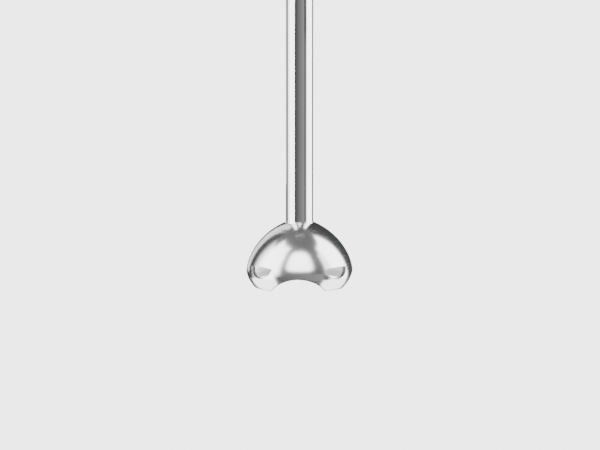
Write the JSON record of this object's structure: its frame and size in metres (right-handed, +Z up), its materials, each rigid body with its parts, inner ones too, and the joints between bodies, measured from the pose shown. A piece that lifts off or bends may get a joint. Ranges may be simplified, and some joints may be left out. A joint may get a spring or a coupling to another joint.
{
  "type": "immersion blender",
  "caption": "Hand-held immersion blender: lobed stainless bell with arched rim and half-moon vents on a steel tube, with a push-in motor handle.",
  "frame": {"origin": "centre of the plane the bell's four feet stand on, on the drive axis", "axes": "+Z up the drive axis to the cord outlet, -Y is the front with the buttons, +X to the right seen from the front"},
  "size_m": [0.07, 0.07, 0.415],
  "materials": {
    "polished_steel": "polished stainless steel",
    "satin_steel": "satin stainless steel",
    "blade_steel": "ground stainless steel",
    "bearing_bronze": "sintered bronze",
    "seal_rubber": "moulded rubber",
    "dark_plastic": "fine textured",
    "soft_grip": "soft-touch",
    "gloss_black": "gloss",
    "grey_plastic": "satin",
    "white_plastic": "moulded nylon",
    "motor_steel": "laminated steel",
    "copper": "enamelled copper wire",
    "brass": "bare brass",
    "carbon": "pressed carbon",
    "bracket_metal": "die cast",
    "circuit_green": "lacquered board",
    "fixing_steel": "zinc plated"
  },
  "bodies": {
    "motor_unit": {"front_shell": "dark_plastic", "back_shell": "dark_plastic", "grip_sleeve": "soft_grip", "button_bezel": "gloss_black", "steel_sleeve": "satin_steel", "trim_ring": "polished_steel", "casing_screws": "fixing_steel", "socket_housing": "grey_plastic", "release_pins": "fixing_steel", "release_spring_right": "fixing_steel", "release_spring_left": "fixing_steel", "motor_damper": "seal_rubber", "lower_motor_bracket": "bracket_metal", "lower_motor_bearing": "motor_steel", "upper_motor_bearing": "motor_steel", "stator_core": "motor_steel", "field_coils": "copper", "upper_motor_bracket": "bracket_metal", "motor_bolts": "fixing_steel", "brush_holders": "brass", "carbon_brushes": "carbon", "brush_springs": "fixing_steel", "circuit_board": "circuit_green", "button_switches": "gloss_black", "capacitor": "grey_plastic", "terminal_block": "white_plastic", "top_frame": "dark_plastic", "cord_clamp": "grey_plastic", "clamp_screws": "fixing_steel", "top_cap": "dark_plastic", "cord_gland": "seal_rubber"},
    "rotor": {"motor_shaft": "fixing_steel", "armature_core": "motor_steel", "armature_windings": "copper", "commutator": "copper", "cooling_fan": "white_plastic", "drive_coupling": "white_plastic"},
    "foot": {"bell": "satin_steel", "shaft_tube": "polished_steel", "bell_hub": "satin_steel", "lower_bush": "bearing_bronze", "shaft_seal": "seal_rubber", "seal_retainer": "satin_steel", "middle_bush": "white_plastic", "upper_bush": "bearing_bronze", "foot_head": "dark_plastic", "tube_collar": "polished_steel", "head_seal_ring": "seal_rubber"},
    "spindle": {"drive_shaft": "satin_steel", "blade": "blade_steel", "blade_boss": "satin_steel", "blade_nut": "satin_steel", "retaining_ring": "fixing_steel", "driven_coupling": "white_plastic"},
    "power_button": {"power_button": "grey_plastic"},
    "turbo_button": {"turbo_button": "grey_plastic"},
    "speed_ring": {"speed_ring": "satin_steel"},
    "release_lever_right": {"release_lever_right": "grey_plastic"},
    "release_lever_left": {"release_lever_left": "grey_plastic"}
  },
  "joints": [
    {"name": "foot_release", "type": "slide", "parent": "motor_unit", "child": "foot", "axis": [0, 0, -1], "range_m": [0, 0.045]},
    {"name": "spindle_spin", "type": "hinge", "parent": "foot", "child": "spindle", "pos_m": [0, 0, 0.1], "axis": [0, 0, 1], "continuous": true},
    {"name": "rotor_spin", "type": "hinge", "parent": "motor_unit", "child": "rotor", "pos_m": [0, 0, 0.29], "axis": [0, 0, 1], "continuous": true},
    {"name": "power_press", "type": "slide", "parent": "motor_unit", "child": "power_button", "axis": [0, 1, 0], "range_m": [0, 0.0018], "stiffness_N_per_m": 1500, "springref_m": -0.0004},
    {"name": "turbo_press", "type": "slide", "parent": "motor_unit", "child": "turbo_button", "axis": [0, 1, 0], "range_m": [0, 0.0018], "stiffness_N_per_m": 1500, "springref_m": -0.0004},
    {"name": "speed_turn", "type": "hinge", "parent": "motor_unit", "child": "speed_ring", "pos_m": [0, 0, 0.398], "axis": [0, 0, 1], "range_deg": [0, 270]},
    {"name": "release_right", "type": "hinge", "parent": "motor_unit", "child": "release_lever_right", "pos_m": [0.0194, 0, 0.224], "axis": [0, -1, 0], "range_deg": [0, 7], "stiffness_Nm_per_rad": 1.2, "springref_deg": -1.72, "deforming": ["release_spring_right"]},
    {"name": "release_left", "type": "hinge", "parent": "motor_unit", "child": "release_lever_left", "pos_m": [-0.0194, 0, 0.224], "axis": [0, 1, 0], "range_deg": [0, 7], "stiffness_Nm_per_rad": 1.2, "springref_deg": -1.72, "deforming": ["release_spring_left"]}
  ],
  "couplings": [
    {"joint": "spindle_spin", "follows": "rotor_spin", "ratio": 1}
  ]
}
